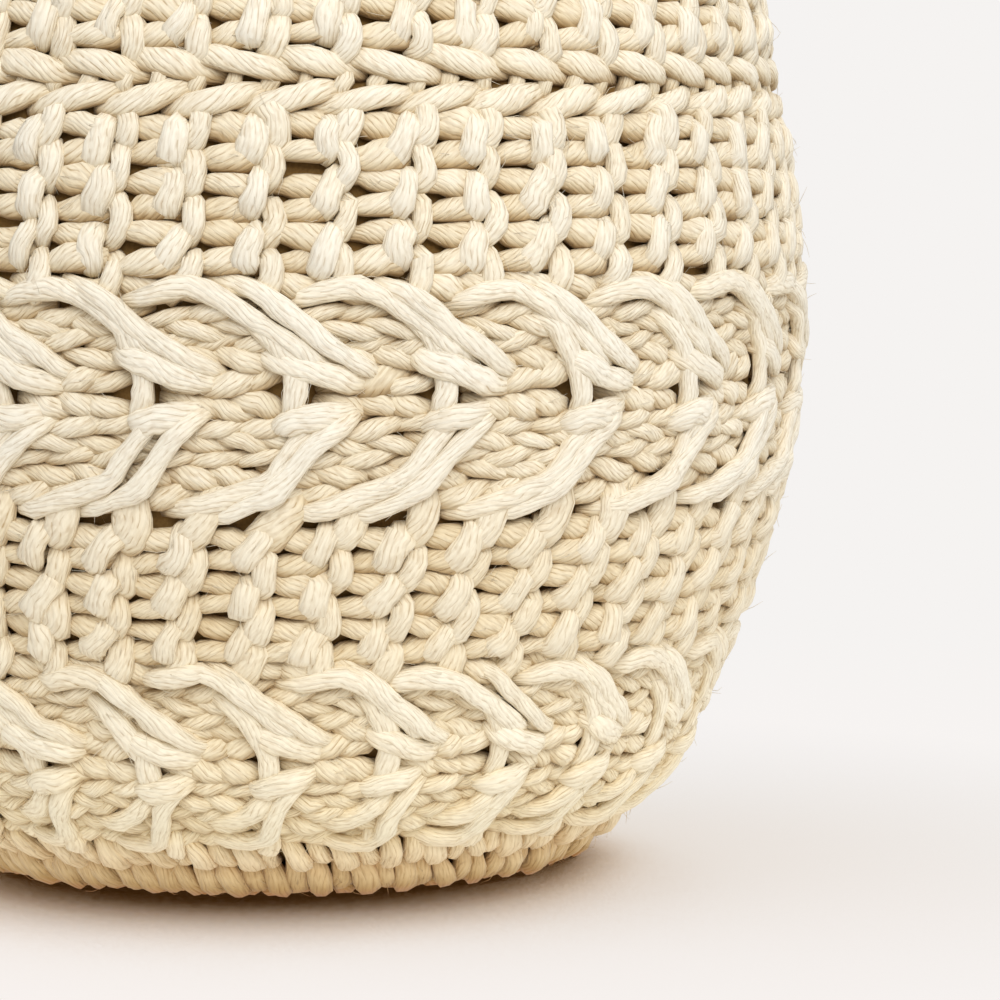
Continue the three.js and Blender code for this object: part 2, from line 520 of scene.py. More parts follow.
UPPER_FOLLOWER = [
    (-0.80, 31.0, -6.0, 3.2, 2.6),
    (-0.52, 27.4, -1.6, 4.2, 2.8),
    (-0.30, 20.6, -0.9, 4.6, 2.9),
    (-0.12, 12.4, -1.0, 4.6, 2.8),
    (-0.02, 4.4, -1.3, 4.5, 2.7),
    (0.00, -3.4, -1.5, 4.5, 2.7),
    (0.00, -10.0, -4.6, 4.0, 2.6),
]
UPPER_KNOB = [
    (-0.32, 15.0, -5.5, 3.4, 2.6),
    (-0.20, 13.2, -1.4, 4.6, 3.0),
    (0.06, 10.8, 0.0, 5.0, 3.2),
    (0.36, 7.2, -0.8, 5.0, 3.2),
    (0.70, 4.4, -2.6, 4.8, 3.0),
    (1.08, 2.6, -9.0, 2.4, 2.4),
]
LOWER_KNOB = [
    (-0.26, -13.6, -5.5, 3.6, 2.6),
    (-0.16, -11.6, -1.2, 5.0, 3.0),
    (0.08, -9.4, 0.1, 5.4, 3.3),
    (0.40, -7.6, -0.9, 5.2, 3.2),
    (0.90, -4.6, -8.6, 2.6, 2.4),
]
LOWER_ARM_OUTER = [
    (0.80, -7.0, -6.4, 3.0, 2.4),
    (0.58, -10.4, -1.6, 4.0, 2.7),
    (0.34, -15.8, 0.0, 4.2, 2.9),
    (0.12, -22.6, 0.0, 4.0, 2.8),
    (-0.08, -29.4, 0.2, 4.2, 2.9),
    (-0.30, -36.0, 0.8, 4.8, 3.2),
    (-0.58, -40.4, -0.2, 3.4, 2.7),
    (-0.95, -45.2, -1.2, 3.2, 2.7),
    (-1.34, -48.0, -8.6, 2.0, 2.2),
]
LOWER_ARM_INNER = [
    (0.40, -7.0, -6.0, 3.0, 2.4),
    (0.16, -11.6, -1.6, 4.0, 2.7),
    (-0.06, -18.8, -0.5, 4.2, 2.8),
    (-0.22, -26.0, -0.3, 4.0, 2.8),
    (-0.42, -32.8, 0.1, 4.2, 2.9),
    (-0.78, -37.6, -0.6, 4.3, 2.9),
    (-1.20, -41.8, -1.0, 4.3, 2.9),
    (-1.56, -44.6, -2.2, 3.9, 2.8),
    (-1.92, -46.4, -9.0, 2.2, 2.2),
]
LOWER_FOLLOWER = [
    (0.14, -12.4, -5.0, 3.5, 2.9),
    (-0.06, -16.8, -1.6, 4.4, 3.4),
    (-0.30, -22.4, -1.6, 4.6, 3.4),
    (-0.62, -27.0, -2.8, 4.3, 3.3),
    (-1.02, -30.0, -6.4, 3.5, 2.9),
]
TOE_ARM = [
    (0.70, -8.0, -6.0, 3.2, 2.8),
    (0.42, -11.5, -1.6, 3.9, 3.2),
    (0.20, -17.0, -0.4, 4.2, 3.4),
    (0.06, -24.0, -0.2, 4.3, 3.5),
    (0.00, -31.0, -0.3, 4.3, 3.5),
    (-0.12, -36.0, -0.6, 4.2, 3.4),
    (-0.42, -38.6, -1.0, 4.2, 3.4),
    (-0.85, -39.2, -2.5, 4.0, 3.2),
    (-1.15, -39.2, -6.5, 3.4, 2.8),
]
TOE = [
    (0.10, -33.0, -4.0, 3.6, 3.0),
    (0.12, -38.0, -0.9, 4.0, 3.3),
    (0.06, -42.5, -1.2, 4.0, 3.2),
    (0.02, -45.0, -5.0, 3.4, 2.8),
]
UPPER_HALF = [UPPER_FOLLOWER, UPPER_EDGE, UPPER_ARM_OUTER, UPPER_KNOB]
CROSSED_CORDS = [*UPPER_HALF, LOWER_ARM_INNER, LOWER_ARM_OUTER, LOWER_KNOB]
TOED_CORDS = [*UPPER_HALF, LOWER_FOLLOWER, TOE_ARM, TOE, LOWER_KNOB]
FOOT_LEFT_LEG = [
    (-0.50, 9.4, -8.0, 2.6, 2.6),
    (-0.32, 4.8, -3.2, 4.5, 4.2),
    (-0.12, -4.2, -2.6, 4.8, 4.4),
    (0.04, -9.0, -7.5, 2.6, 2.6),
]
FOOT_RIGHT_LEG = [
    (0.06, 9.4, -8.6, 2.4, 2.6),
    (0.18, 4.6, -4.6, 4.0, 3.8),
    (0.36, -4.0, -4.0, 4.3, 4.0),
    (0.52, -8.8, -8.0, 2.4, 2.6),
]
# A plain stitch's leg, in shares: turn in quarters of a stitch, rise in reaches of a leg, lift from
# the round's own, half width in plump cords
PLAIN_LEG = [
    (1.7, 1.0, -3.5, 0.6, 2.6),
    (1.15, 0.45, 0.0, 1.0, 3.6),
    (0.75, -0.35, 0.0, 1.0, 3.6),
    (0.15, -1.0, -3.5, 0.6, 2.6),
]

# How each kind of cord is made: rings along it and sides around it, the fibres' twist in turns for
# each millimetre, how unevenly it is laid, its loose fibres, and how far its rounds waver

ROW_SECTION = (8, 8)
ROW_LAY = 0.018
RIGHT_BAR_LAY = 0.006
LEFT_BAR_LAY = -0.004
MESH_UNEVEN = 1.4
MESH_WAVER = 0.6

GROUND_SECTION = (7, 8)
STRAND_LAY = 0.016
GROUND_UNEVEN = 1.3
GROUND_LOOSE = 0.7
CABLE_WAVER = 0.4

ARM_SECTION = (16, 10)
ARM_LAY = 0.005
ARM_UNEVEN = 0.95
ARM_LOOSE = 3.0
POST_RISE_SPREAD = 0.6
POST_TURN_SPREAD = 0.025

ROPE_SECTION = (12, 10)
ROPE_WAVER = 0.5
ROPE_LEG_SECTION = (6, 8)

PLAIN_SECTION = (6, 7)
PLAIN_UNEVEN = 0.6
STITCH_LAY = 0.006
SHORT_LOOSE = 0.3

FOOT_SECTION = (8, 8)
FOOT_UNEVEN = 1.6
FOOT_LOOSE = 2.0

# How the bands are set out

MESH_ROWS = 6
LOWER_MESH_SHORT = 5
# A mesh band's foot and head are heights. Its columns shift from the cables' posts, its bars lean by
# columns for each millimetre, and bars at its edge are tucked in by millimetres. The tone is warmer
# by a share, and rows, bars and the upper reach of the bars at its head are fuller by shares.
LOWER_MESH = {
    "foot": LOWER_CABLE_TOP,
    "head": LOWER_MESH_TOP - LOWER_MESH_SHORT,
    "foot_shift": -0.75,
    "head_shift": -0.42,
    "bar_lean": 0.012,
    "warmer": 0.2,
    "row_full": 1.02,
    "bar_full": 1.1,
    "head_reach": 1.5,
}
UPPER_MESH = {
    "foot": UPPER_CABLE_TOP,
    "head": UPPER_MESH_TOP,
    "foot_shift": -0.5,
    "head_shift": -0.4,
    "bar_lean": 0.004,
    "head_tuck": 5.0,
    "row_full": 1.13,
}
TOP_MESH = {
    "foot": ROPES_TOP,
    "head": TOP_MESH_TOP,
    "foot_shift": -0.4,
    "head_shift": -0.3,
    "bar_lean": 0.004,
    "foot_tuck": 5.0,
    "row_full": 1.13,
}

# Ground rounds of a cable band from its head down: rise over the band's middle, half height, slant
GROUND_ROUNDS = [
    (40.4, 4.5, -1),
    (31.0, 3.7, 1),
    (25.2, 3.2, -1),
    (19.6, 3.4, 1),
    (13.4, 4.2, -1),
    (5.4, 4.8, 1),
    (-4.6, 4.6, -1),
    (-12.2, 3.6, 1),
    (-18.5, 3.4, -1),
    (-24.4, 3.3, 1),
    (-31.2, 4.4, -1),
    (-39.6, 4.5, 1),
]
POST_ROUNDS = (5, 6)
STRANDS_PER_CABLE = 3
# A cable band is shifted by columns, and stretched above and below its middle. The lower band's posts
# stand over its middle, so its upper half is pressed and its lower half drawn out.
LOWER_MIDDLE_RAISED = 4.5
LOWER_CABLES = {"shift": -0.4, "stretch": (0.94, 1.14)}
UPPER_CABLES = {"shift": 0.0, "stretch": (1.0, 1.0)}
# In the post rounds three shortened strands fill each span between posts, clear of the posts
LOWER_SPANS = {"clear": (0.58, 1.05, 1.52), "shortened": 0.95}
UPPER_SPANS = {"clear": (0.69, 1.12, 1.55), "shortened": 0.84}

# Rope rounds: share of the way up their band, slant, shift in columns. Legs show between them.
ROPES = [(0.235, 1, 0.0), (0.755, -1, 0.35)]
ROPE_LEG_PITCH = 0.5
ROPE_LEG_SHIFT = 0.2

# Plain rounds, in millimetres: sizes of a stitch, how far the rounds are sunk, and how far they stop
# short of the base's middle, the base's rim and the crown's middle
PLAIN_HEIGHT = 12.0
PLAIN_WIDTH = 19.0
FEWEST_STITCHES = 5
PLAIN_LEG_REACH = 0.66
PLAIN_PLUMP = 5.0
PLAIN_PLUMP_SHARE = 0.33
BASE_SUNK = -4.2
CROWN_SUNK = -3.2
BASE_MIDDLE_LEFT = 4
BASE_RIM_LEFT = 2.0
CROWN_MIDDLE_LEFT = 3

# Arc lengths of the foot's courses, and the columns that each is shifted from the one below
FOOT_COURSES = (9.0, 24.5)
FOOT_COURSE_SHIFT = 0.4


# Stitch bands

def mesh_band(
    foot, head, foot_shift, head_shift, bar_lean, foot_tuck=0.0, head_tuck=0.0,
    warmer=0.0, row_full=1.0, bar_full=1.0, head_reach=1.0,
):
    """Open mesh: slanting rounds, and on each column bars that step from side to side in front."""
    low, high = arc_at(foot), arc_at(head)
    step = (high - low) / MESH_ROWS
    columns = np.arange(COLUMNS, dtype=float)
    wave = wander(columns, MESH_WAVER)[:, None]
    sweeps = []

    def shifted(arc):
        return columns + foot_shift + (head_shift - foot_shift) * (arc - low) / (high - low)

    for row in range(MESH_ROWS):
        arc = high - (row + 0.5) * step
        slant = (-1, 1)[row % 2]
        cords = set_out(MESH_ROW, shifted(arc), arc + wave, -slant, uneven=MESH_UNEVEN)
        cords["wide"] *= row_full
        tone = np.add(WARM_SHADED, warmer)
        sweeps.append(sweep(cords, ROW_SECTION, -slant * ROW_LAY, ROW_UNDER_SIDE_SHADE, tone))

    bars = ((RIGHT_BAR, RIGHT_BAR_LAY, CREAM), (LEFT_BAR, LEFT_BAR_LAY, PALE))
    tucks = {0: -head_tuck, MESH_ROWS: foot_tuck}
    for gap in range(MESH_ROWS + 1):
        arc = high - gap * step + tucks.get(gap, 0.0)
        table, lay, tone = bars[gap % 2]
        above = head_reach if gap == 0 else 1.0
        cords = set_out(
            table, shifted(arc), arc + wave, stretch=(above, 1.0), uneven=MESH_UNEVEN, lean=bar_lean
        )
        cords["wide"] *= bar_full * math.sqrt(above)
        sweeps.append(sweep(cords, ROW_SECTION, lay, tone=np.add(tone, warmer)))
    return sweeps


def cable_ground(middle, shift, stretch, clear, shortened):
    """The plaited rounds behind a band of cables."""
    pitch = COLUMNS_PER_CABLE / STRANDS_PER_CABLE
    posts = np.arange(0, COLUMNS, COLUMNS_PER_CABLE)
    turns = np.arange(0, COLUMNS, pitch)
    sweeps = []
    for number, (rise, half_height, slant) in enumerate(GROUND_ROUNDS):
        places = turns + pitch * (number % 2) / 2
        table = np.array(GROUND_STRAND)
        table[:, 3] *= half_height
        if number in POST_ROUNDS:
            places = (posts[:, None] + np.array(clear)).ravel()
            table[:, 0] *= shortened
        arc = middle + stretched(rise, stretch) + wander(places, CABLE_WAVER)[:, None]
        cords = set_out(table, places + shift, arc, slant, uneven=GROUND_UNEVEN)
        lay = -slant * STRAND_LAY
        sweeps.append(sweep(cords, GROUND_SECTION, lay, tone=GROUND, loose=GROUND_LOOSE))
    return sweeps


def crossed_cords(tables, middle, shift, stretch):
    """Posts and the arms that bend back from them, crossing in front of the plaited ground."""
    posts = np.arange(0, COLUMNS, COLUMNS_PER_CABLE) + shift
    wave = (wander(posts, CABLE_WAVER) + rng.normal(0, POST_RISE_SPREAD, len(posts)))[:, None]
    posts = posts + rng.normal(0, POST_TURN_SPREAD, len(posts))
    sweeps = []
    for table in tables:
        cords = set_out(table, posts, middle + wave, stretch=stretch, uneven=ARM_UNEVEN)
        sweeps.append(sweep(cords, ARM_SECTION, ARM_LAY, tone=CREAM, loose=ARM_LOOSE))
    return sweeps


def rope_rounds():
    """Two twisted rope rounds, laid opposite ways, and the short legs between them."""
    low, high = arc_at(UPPER_MESH_TOP), arc_at(ROPES_TOP)
    turns = np.arange(COLUMNS, dtype=float)
    sweeps = []
    for share, slant, shift in ROPES:
        arc = low + share * (high - low) + wander(turns, ROPE_WAVER)[:, None]
        cords = set_out(ROPE_STRAND, turns + shift, arc, slant)
        sweeps.append(sweep(cords, ROPE_SECTION, -slant * STRAND_LAY))
    legs = np.arange(0, COLUMNS, ROPE_LEG_PITCH) + ROPE_LEG_SHIFT
    cords = set_out(ROPE_LEG, legs, (low + high) / 2)
    sweeps.append(sweep(cords, ROPE_LEG_SECTION, STITCH_LAY, tone=CREAM, loose=SHORT_LOOSE))
    return sweeps


def plain_rounds(low, high, sunk):
    """Plain rounds of stitches, each a pair of cords that meet in a V."""
    rounds = round((high - low) / PLAIN_HEIGHT)
    round_height = (high - low) / rounds
    sweeps = []
    for number in range(rounds):
        arc = low + (number + 0.5) * round_height
        girth = 2 * math.pi * float(reach_at(arc))
        stitches = max(FEWEST_STITCHES, round(girth / PLAIN_WIDTH))
        turns = (np.arange(stitches) + 0.5 * (number % 2)) * COLUMNS / stitches
        quarter = COLUMNS / stitches / 4
        tall = PLAIN_LEG_REACH * round_height
        plump = min(PLAIN_PLUMP, PLAIN_PLUMP_SHARE * girth / stitches)
        for hand in (-1, 1):
            table = np.array(PLAIN_LEG) * (hand * quarter, tall, 1, plump, 1)
            table[:, 2] += sunk
            cords = set_out(table, turns, arc, uneven=PLAIN_UNEVEN)
            lay = hand * STITCH_LAY
            sweeps.append(sweep(cords, PLAIN_SECTION, lay, tone=CREAM, loose=SHORT_LOOSE))
    return sweeps


def foot_rounds():
    """Two short rounds of plump stitches that lean one way at the foot."""
    turns = np.arange(COLUMNS, dtype=float)
    sweeps = []
    for course, arc in enumerate(FOOT_COURSES):
        for table in (FOOT_LEFT_LEG, FOOT_RIGHT_LEG):
            cords = set_out(table, turns + FOOT_COURSE_SHIFT * course, arc, uneven=FOOT_UNEVEN)
            sweeps.append(sweep(cords, FOOT_SECTION, STITCH_LAY, tone=WARM_SHADED, loose=FOOT_LOOSE))
    return sweeps


# The stuffed body behind the stitches

SPIN_STEPS = 96
MERGE_DISTANCE = 0.1 * MM
PAD_INSET = 8.5
PAD_BASE_RINGS = 6
PAD_SIDE_RINGS = 48
PAD_VOXEL = 6 * MM
PAD_PRESSURE = 4
PAD_SWELL = 3 * MM
PAD_FRAMES = 20
# A movement under this length is taken as none when it is capped
PAD_STILL = 1e-9


def spun(name, line):
    """A line of points, in metres, spun once about the upright axis."""
    shape = bmesh.new()
    corners = [shape.verts.new(point) for point in line]
    edges = [shape.edges.new(pair) for pair in zip(corners, corners[1:])]
    bmesh.ops.spin(
        shape,
        geom=[*corners, *edges],
        cent=(0, 0, 0),
        axis=(0, 0, 1),
        angle=2 * math.pi,
        steps=SPIN_STEPS,
        use_merge=True,
    )
    bmesh.ops.remove_doubles(shape, verts=shape.verts, dist=MERGE_DISTANCE)
    bmesh.ops.recalc_face_normals(shape, faces=shape.faces)
    mesh = bpy.data.meshes.new(name)
    shape.to_mesh(mesh)
    shape.free()
    mesh.shade_smooth()
    return linked(name, mesh)


def stuffed_pad(name):
    """The stuffed body, spun from the outline a little inside it, then swelled as filled cloth."""
    under = np.linspace(ARC[0], 0, PAD_BASE_RINGS)[:-1]
    arcs = np.concatenate([under, np.linspace(0, ARC[-1], PAD_SIDE_RINGS)])
    line = place(np.zeros_like(arcs), arcs, np.full_like(arcs, -PAD_INSET)) * MM
    # The line is laid in the front half of the upright plane, with its ends on the axis
    line[:, 0] = 0
    line[:, 1] = -np.abs(line[:, 1])
    line[[0, -1], 1] = 0
    piece = spun(name, line)
    swell(piece)
    piece.data.shade_smooth()
    return piece


def swell(piece):
    """Remeshes the body evenly and lets pressure round it out, each point by no more than the cap."""
    remesh = piece.modifiers.new("even", "REMESH")
    remesh.mode = "VOXEL"
    remesh.voxel_size = PAD_VOXEL
    set_mesh(piece)
    rest = points_of(piece.data)
    cloth = piece.modifiers.new("swell", "CLOTH")
    cloth.settings.use_pressure = True
    cloth.settings.uniform_pressure_force = PAD_PRESSURE
    cloth.settings.effector_weights.gravity = 0
    scene = bpy.context.scene
    for step in range(1, PAD_FRAMES + 1):
        scene.frame_set(step)
    set_mesh(piece)
    scene.frame_set(1)
    move = points_of(piece.data) - rest
    far = np.linalg.norm(move, axis=1, keepdims=True)
    capped = rest + move * np.minimum(1, PAD_SWELL / np.maximum(far, PAD_STILL))
    piece.data.vertices.foreach_set("co", capped.ravel())
    piece.data.update()


def set_mesh(piece):
    """Makes what the modifiers give the piece's own mesh."""
    shown = piece.evaluated_get(bpy.context.evaluated_depsgraph_get())
    made = bpy.data.meshes.new_from_object(shown)
    piece.modifiers.clear()
    piece.data = made


def points_of(mesh):
    """A mesh's points as an array."""
    points = np.zeros(len(mesh.vertices) * 3)
    mesh.vertices.foreach_get("co", points)
    return points.reshape(-1, 3)


# Nodes

# Sockets of a Mix node set to colours
MIX_INPUTS = (0, 6, 7)
MIX_RESULT = 2


def new_group(name, inputs, outputs):
    """An empty shader node group with its named sockets, and its two end nodes."""
    group = bpy.data.node_groups.new(name, "ShaderNodeTree")
    for socket, value in inputs:
        made = group.interface.new_socket(socket, in_out="INPUT", socket_type="NodeSocketFloat")
        made.default_value = value
    for socket in outputs:
        group.interface.new_socket(socket, in_out="OUTPUT", socket_type="NodeSocketFloat")
    return group, group.nodes.new("NodeGroupInput"), group.nodes.new("NodeGroupOutput")


def joined_math(tree, operation, *values):
    """A Math node on sockets or numbers."""
    node = tree.nodes.new("ShaderNodeMath")
    node.operation = operation
    for slot, value in enumerate(values):
        if isinstance(value, (int, float)):
            node.inputs[slot].default_value = value
        else:
            tree.links.new(value, node.inputs[slot])
    return node.outputs[0]


def spread(tree, value, low, high, to_low=0.0, to_high=1.0):
    """A Map Range node."""
    node = tree.nodes.new("ShaderNodeMapRange")
    for slot, number in enumerate((low, high, to_low, to_high), 1):
        node.inputs[slot].default_value = number
    tree.links.new(value, node.inputs[0])
    return node.outputs[0]


def ramp(tree, value, stops):
    """A Color Ramp through the stops, fed by a value."""
    node = tree.nodes.new("ShaderNodeValToRGB")
    elements = node.color_ramp.elements
    while len(elements) < len(stops):
        elements.new(0.5)
    for element, (position, colour) in zip(elements, stops):
        element.position = position
        element.color = (*colour, 1)
    tree.links.new(value, node.inputs["Fac"])
    return node.outputs["Color"]


def mixed(tree, blend, factor, first, second):
    """A Mix node on two colours, each of them and the factor a socket or a value."""
    node = tree.nodes.new("ShaderNodeMix")
    node.data_type = "RGBA"
    node.blend_type = blend
    for slot, value in zip(MIX_INPUTS, (factor, first, second)):
        if isinstance(value, bpy.types.NodeSocket):
            tree.links.new(value, node.inputs[slot])
        elif isinstance(value, tuple):
            node.inputs[slot].default_value = (*value, 1)
        else:
            node.inputs[slot].default_value = value
    return node.outputs[MIX_RESULT]


def attribute(tree, name):
    """A value that the piece keeps at its points."""
    node = tree.nodes.new("ShaderNodeAttribute")
    node.attribute_name = name
    return node.outputs["Fac"]


def object_place(tree):
    """Where a point lies, in metres, as the piece's own coordinates."""
    return tree.nodes.new("ShaderNodeTexCoord").outputs["Object"]


def split(tree, vector):
    """The three parts of a vector."""
    node = tree.nodes.new("ShaderNodeSeparateXYZ")
    tree.links.new(vector, node.inputs[0])
    return node.outputs


def new_material(name, roughness):
    """A matt material, its nodes and its shader."""
    material = bpy.data.materials.new(name)
    material.use_nodes = True
    shader = material.node_tree.nodes["Principled BSDF"]
    shader.inputs["Roughness"].default_value = roughness
    shader.inputs["Specular IOR Level"].default_value = 0.0
    return material, material.node_tree, shader


# Finishes

# Plies around a cord, how far they waver, and the finer fibres in each ply with their height
PLIES = 14.0
PLY_WAVER = 2.6
FIBRES_PER_PLY = 3.0
FIBRE_HEIGHT = -0.25
# Noises over a cord: repeats for each millimetre along it and for each turn around it
WAVER_NOISE = (0.09, 3.0)
BREAK_NOISE = (0.3, 12.0)
FLEECE_NOISE = (0.22, 38.0)
FUZZ_NOISE = (0.34, 24.0)
NOISE_PER_TONE = 53.0
# Lines between plies: the values from which to which each kind comes in, and its weight
SOFT_LINE, SOFT_WEIGHT = (0.35, 1.0), 0.10
FLEECE_LINE, FLEECE_WEIGHT = (0.55, 0.28), 0.26
FUZZ_LINE, FUZZ_WEIGHT = (0.5, 0.3), 0.22
THIN_LINE, THIN_WEIGHT = (0.78, 1.0), 0.66
LINE_BREAKS = (0.46, 0.58)

CORD_ROUGHNESS = 0.92
CORD_SHEEN = 0.2
CORD_SHEEN_ROUGHNESS = 0.6
CORD_SHEEN_TINT = (1.0, 0.95, 0.85)
PLY_BUMP = 0.45
PLY_RELIEF = 0.6 * MM
# Colours from the deepest cord to the proudest, over this range of depths in millimetres: the browner
# deep colours are painted shade in the recesses
CORD_DEPTHS = (-10.0, 3.0)
CORD_SHADE_COLOURS = [
    (0.0, (0.35, 0.225, 0.095)),
    (0.27, (0.62, 0.48, 0.29)),
    (0.50, (0.82, 0.73, 0.55)),
    (0.70, (0.875, 0.805, 0.655)),
    (0.88, (0.87, 0.815, 0.69)),
    (1.0, (0.86, 0.815, 0.705)),
]
WARM_TINT = (0.86, 0.79, 0.66)
# Lines between plies are fainter on proud cords: depths in millimetres, and how much the lines show
LINE_TINT = (0.54, 0.42, 0.28)
LINE_DEPTHS = (-2.0, 3.0)
LINE_SHOWS = (1.0, 0.65)
# The cord is darker and warmer towards the floor and brown at the foot, as painted shade: tints over
# this height in metres
FOOT_SHADE_TOP = 0.18
FOOT_SHADES = [
    (0.0, (0.42, 0.18, 0.05)),
    (0.023, (0.56, 0.39, 0.19)),
    (0.047, (0.78, 0.625, 0.405)),
    (0.067, (0.84, 0.68, 0.46)),
    (0.10, (0.98, 0.87, 0.69)),
    (0.16, (1.0, 0.955, 0.825)),
    (0.35, (1.0, 0.975, 0.905)),
    (0.75, (0.985, 0.965, 0.92)),
    (1.0, (1.0, 1.0, 1.0)),
]

PAD_ROUGHNESS = 0.95
PAD_WEAVE = 900
# The stuffed body's cloth, darkened as painted shade in the gaps between the cords
PAD_SHADE_COLOURS = [(0.3, (0.25, 0.145, 0.05)), (0.7, (0.33, 0.2, 0.07))]


def cord_plies():
    """Plies that lie side by side along a cord: their rounded height, and broken lines between them."""
    group, given, out = new_group(
        "cord_plies",
        [("Along", 0.0), ("Around", 0.0), ("Tone", 0.0), ("Plies", PLIES)],
        ["Height", "Line"],
    )
    along, around, tone, plies = (given.outputs[name] for name in ("Along", "Around", "Tone", "Plies"))

    def noise_over(per_mm, per_turn):
        spot = group.nodes.new("ShaderNodeCombineXYZ")
        scales = ((along, per_mm), (around, per_turn), (tone, NOISE_PER_TONE))
        for slot, (value, scale) in enumerate(scales):
            group.links.new(joined_math(group, "MULTIPLY", value, scale), spot.inputs[slot])
        noise = group.nodes.new("ShaderNodeTexNoise")
        noise.inputs["Scale"].default_value = 1.0
        noise.inputs["Detail"].default_value = 0.0
        group.links.new(spot.outputs[0], noise.inputs["Vector"])
        return noise.outputs["Fac"]

    def off_middle(count):
        share = joined_math(group, "FRACT", count)
        return joined_math(group, "ABSOLUTE", joined_math(group, "MULTIPLY_ADD", share, 2.0, -1.0))

    def added(lines, mask, weight):
        return joined_math(group, "MULTIPLY_ADD", mask, weight, lines)

    waver = joined_math(group, "MULTIPLY", noise_over(*WAVER_NOISE), PLY_WAVER)
    count = joined_math(group, "MULTIPLY_ADD", around, plies, waver)
    off = off_middle(count)
    fine = off_middle(joined_math(group, "MULTIPLY_ADD", count, FIBRES_PER_PLY, waver))
    hollow = joined_math(group, "MULTIPLY", off, -1.0)
    height = joined_math(group, "MULTIPLY_ADD", off, hollow, 1.0)
    group.links.new(added(height, fine, FIBRE_HEIGHT), out.inputs["Height"])

    broken = spread(group, noise_over(*BREAK_NOISE), *LINE_BREAKS)
    thin = joined_math(group, "MULTIPLY", spread(group, off, *THIN_LINE), broken)
    lines = joined_math(group, "MULTIPLY", spread(group, off, *SOFT_LINE), SOFT_WEIGHT)
    lines = added(lines, spread(group, noise_over(*FLEECE_NOISE), *FLEECE_LINE), FLEECE_WEIGHT)
    lines = added(lines, spread(group, noise_over(*FUZZ_NOISE), *FUZZ_LINE), FUZZ_WEIGHT)
    lines = added(lines, thin, THIN_WEIGHT)
    lines.node.use_clamp = True
    group.links.new(lines, out.inputs["Line"])
    return group


def cotton_cord():
    """Cream cotton cord: plies along it with thin dark partings, and painted shade that browns its
    depths, its under sides and its foot.
    """
    material, tree, shader = new_material("cotton_cord", CORD_ROUGHNESS)
    shader.inputs["Sheen Weight"].default_value = CORD_SHEEN
    shader.inputs["Sheen Roughness"].default_value = CORD_SHEEN_ROUGHNESS
    shader.inputs["Sheen Tint"].default_value = (*CORD_SHEEN_TINT, 1)
    tone = attribute(tree, "tone")
    depth = attribute(tree, "depth")

    lay = tree.nodes.new("ShaderNodeUVMap")
    lay.uv_map = "fibres"
    along, around = split(tree, lay.outputs[0])[:2]
    plies = tree.nodes.new("ShaderNodeGroup")
    plies.node_tree = cord_plies()
    for socket, value in (("Along", along), ("Around", around), ("Tone", tone)):
        tree.links.new(value, plies.inputs[socket])
    bump = tree.nodes.new("ShaderNodeBump")
    bump.inputs["Strength"].default_value = PLY_BUMP
    bump.inputs["Distance"].default_value = PLY_RELIEF
    tree.links.new(plies.outputs["Height"], bump.inputs["Height"])
    tree.links.new(bump.outputs[0], shader.inputs["Normal"])

    # Painted shade: the deeper a place on a cord, and the lower on its under side, the browner it is
    base = ramp(tree, spread(tree, depth, *CORD_DEPTHS), CORD_SHADE_COLOURS)
    warmed = mixed(tree, "MULTIPLY", tone, base, WARM_TINT)
    height = split(tree, object_place(tree))[2]
    # Painted shade near the floor, darker the lower a place is
    foot_shade = ramp(tree, spread(tree, height, 0.0, FOOT_SHADE_TOP), FOOT_SHADES)
    foot_shaded = mixed(tree, "MULTIPLY", 1.0, warmed, foot_shade)
    shows = spread(tree, depth, *LINE_DEPTHS, *LINE_SHOWS)
    line = joined_math(tree, "MULTIPLY", plies.outputs["Line"], shows)
    lined = mixed(tree, "MULTIPLY", line, foot_shaded, LINE_TINT)
    tree.links.new(lined, shader.inputs["Base Color"])
    return material


def pad_cloth():
    """Tan cloth of the stuffed body, seen only between the cords and painted dark as their shade."""
    material, tree, shader = new_material("pad_cloth", PAD_ROUGHNESS)
    noise = tree.nodes.new("ShaderNodeTexNoise")
    noise.inputs["Scale"].default_value = PAD_WEAVE
    tree.links.new(object_place(tree), noise.inputs["Vector"])
    tree.links.new(ramp(tree, noise.outputs["Fac"], PAD_SHADE_COLOURS), shader.inputs["Base Color"])
    return material


# The studio, in metres

FLOOR_REACH = 6.0
FLOOR_MIDDLE = 1.0
COVE = 3.0
COVE_STEPS = 15
# Far from the pouf the floor takes the backdrop's colour
BACKDROP_COLOUR = (0.915, 0.895, 0.88)
BACKDROP_BLEND = (0.4, 0.9)
# Glow that the floor gives onto the pouf, standing in for light thrown back: less of it right under the
# pouf and far away
FLOOR_BOUNCE = 1.32
UNDER_REACH = (0.1, 0.3)
UNDER_SHARE = 0.85
BEYOND_REACH = (0.4, 0.8)
BEYOND_SHARE = 0.35
# The floor's shade: how far the pouf shades it, where the light comes from and the rays that look for
# it, and the colours from a place that is covered to an open one
SHADE_REACH = 0.3
SHADE_LIT_FROM = (0.1, 0.9, 1.0)
SHADE_RAYS = 12
FLOOR_SHADES = [
    (0.2, (0.035, 0.013, 0.003)),
    (0.27, (0.17, 0.08, 0.022)),
    (0.34, (0.62, 0.44, 0.29)),
    (0.41, (0.85, 0.74, 0.65)),
    (0.5, (0.92, 0.86, 0.815)),
    (0.62, (0.95, 0.895, 0.86)),
    (1.0, (0.93, 0.90, 0.883)),
]
# A fainter shade falls to the right, away from a light on the left
ASIDE_LIT_FROM = (-1.0, -0.1, 0.8)
ASIDE_RAYS = 3
ASIDE_SHADES = [
    (0.33, (0.84, 0.82, 0.78)),
    (0.46, (0.86, 0.855, 0.84)),
    (0.58, (0.90, 0.91, 0.91)),
    (0.76, (1.0, 1.0, 1.0)),
]
SKY_COLOUR = (1.0, 0.985, 0.965)
SKY_STRENGTH = 1.0
